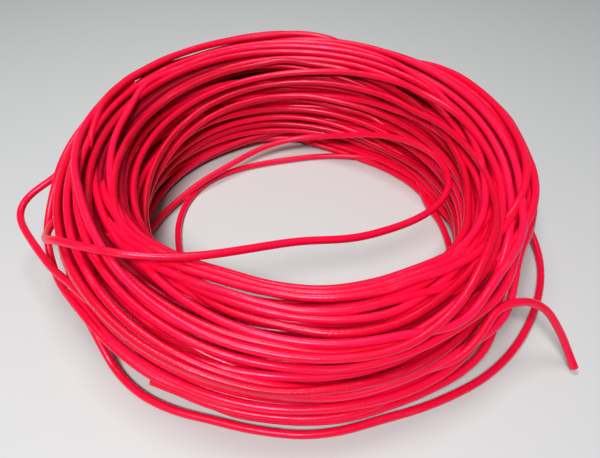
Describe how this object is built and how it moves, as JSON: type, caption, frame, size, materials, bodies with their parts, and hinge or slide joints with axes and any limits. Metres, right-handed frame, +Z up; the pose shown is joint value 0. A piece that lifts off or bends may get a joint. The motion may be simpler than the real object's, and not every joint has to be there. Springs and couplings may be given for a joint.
{
  "type": "wire coil",
  "caption": "Loose hand-wound hank of red insulated stranded wire lying flat in a ring, with slack loops, a strand across its opening and free cut ends.",
  "frame": {"origin": "middle of the hank's bounding box, on the bench plane it rests on", "axes": "+Z up, through the ring's opening; +X to the right and -Y towards the front when the long free tail is at the front right"},
  "size_m": [0.4414, 0.3878, 0.1152],
  "materials": {
    "jacket": "satin crimson PVC",
    "packed_jacket": "satin crimson PVC, in shadow between the outer turns",
    "conductor": "bare stranded copper"
  },
  "bodies": {
    "coil": {"bundle_core": "packed_jacket", "turn_01": "jacket", "turn_02": "jacket", "turn_03": "jacket", "turn_04": "jacket", "turn_05": "jacket", "turn_06": "jacket", "turn_07": "jacket", "turn_08": "jacket", "turn_09": "jacket", "turn_10": "jacket", "turn_11": "jacket", "turn_12": "jacket", "turn_13": "jacket", "turn_14": "jacket", "turn_15": "jacket", "turn_16": "jacket", "turn_17": "jacket", "turn_18": "jacket", "turn_19": "jacket", "turn_20": "jacket", "turn_21": "jacket", "turn_22": "jacket", "turn_23": "jacket", "turn_24": "jacket", "turn_25": "jacket", "turn_26": "jacket", "floor_loop": "jacket", "inner_floor_strand": "jacket", "slack_turn_inner": "jacket", "front_end_run": "jacket", "slack_span_end": "jacket", "tail_root": "jacket"},
    "bow_loop_body": {"bow_loop": "jacket"},
    "sag_loop_body": {"sag_loop": "jacket"},
    "loose_turn_body": {"loose_turn": "jacket"},
    "slack_span_body": {"slack_span": "jacket"},
    "front_end": {"front_cut_end": "jacket", "front_end_conductor": "conductor"},
    "tail_1": {"tail_lead": "jacket", "tail_lead_conductor": "conductor"},
    "tail_2": {"tail_bend": "jacket", "tail_bend_conductor": "conductor"},
    "tail_3": {"tail_tip": "jacket", "tail_tip_conductor": "conductor"}
  },
  "joints": [
    {"name": "bow_loop_swing", "type": "hinge", "parent": "coil", "child": "bow_loop_body", "pos_m": [-0.18255, 0.02694, 0.066], "axis": [-0.3038, 0.95, 0.0721], "range_deg": [-2, 25]},
    {"name": "sag_loop_lift", "type": "hinge", "parent": "coil", "child": "sag_loop_body", "pos_m": [-0.15091, -0.10362, 0.03889], "axis": [-0.7812, 0.5671, 0.2609], "range_deg": [0, 25]},
    {"name": "loose_turn_lift", "type": "hinge", "parent": "coil", "child": "loose_turn_body", "pos_m": [-0.02715, -0.18585, 0.003], "axis": [-0.7489, -0.6618, -0.0348], "range_deg": [0, 7]},
    {"name": "slack_span_lift", "type": "hinge", "parent": "coil", "child": "slack_span_body", "pos_m": [0.13568, 0.01151, 0.06], "axis": [-0.9087, -0.4023, 0.1111], "range_deg": [-1, 25]},
    {"name": "front_end_lift_out", "type": "hinge", "parent": "coil", "child": "front_end", "pos_m": [-0.04793, -0.17472, 0.01306], "axis": [0, 0, 1], "range_deg": [0, 35]},
    {"name": "tail_swing", "type": "hinge", "parent": "coil", "child": "tail_1", "pos_m": [0.14358, -0.13003, 0.06037], "axis": [0, 0, 1], "range_deg": [-30, 2]},
    {"name": "tail_lift", "type": "hinge", "parent": "tail_1", "child": "tail_2", "pos_m": [0.1742, -0.11873, 0.05249], "axis": [-0.2173, -0.9761, 0], "range_deg": [0, 40]},
    {"name": "tail_curl", "type": "hinge", "parent": "tail_2", "child": "tail_3", "pos_m": [0.19245, -0.12279, 0.03463], "axis": [-0.2173, -0.9761, 0], "range_deg": [0, 24]}
  ],
  "couplings": [
    {"joint": "tail_curl", "follows": "tail_lift", "ratio": 0.6}
  ]
}
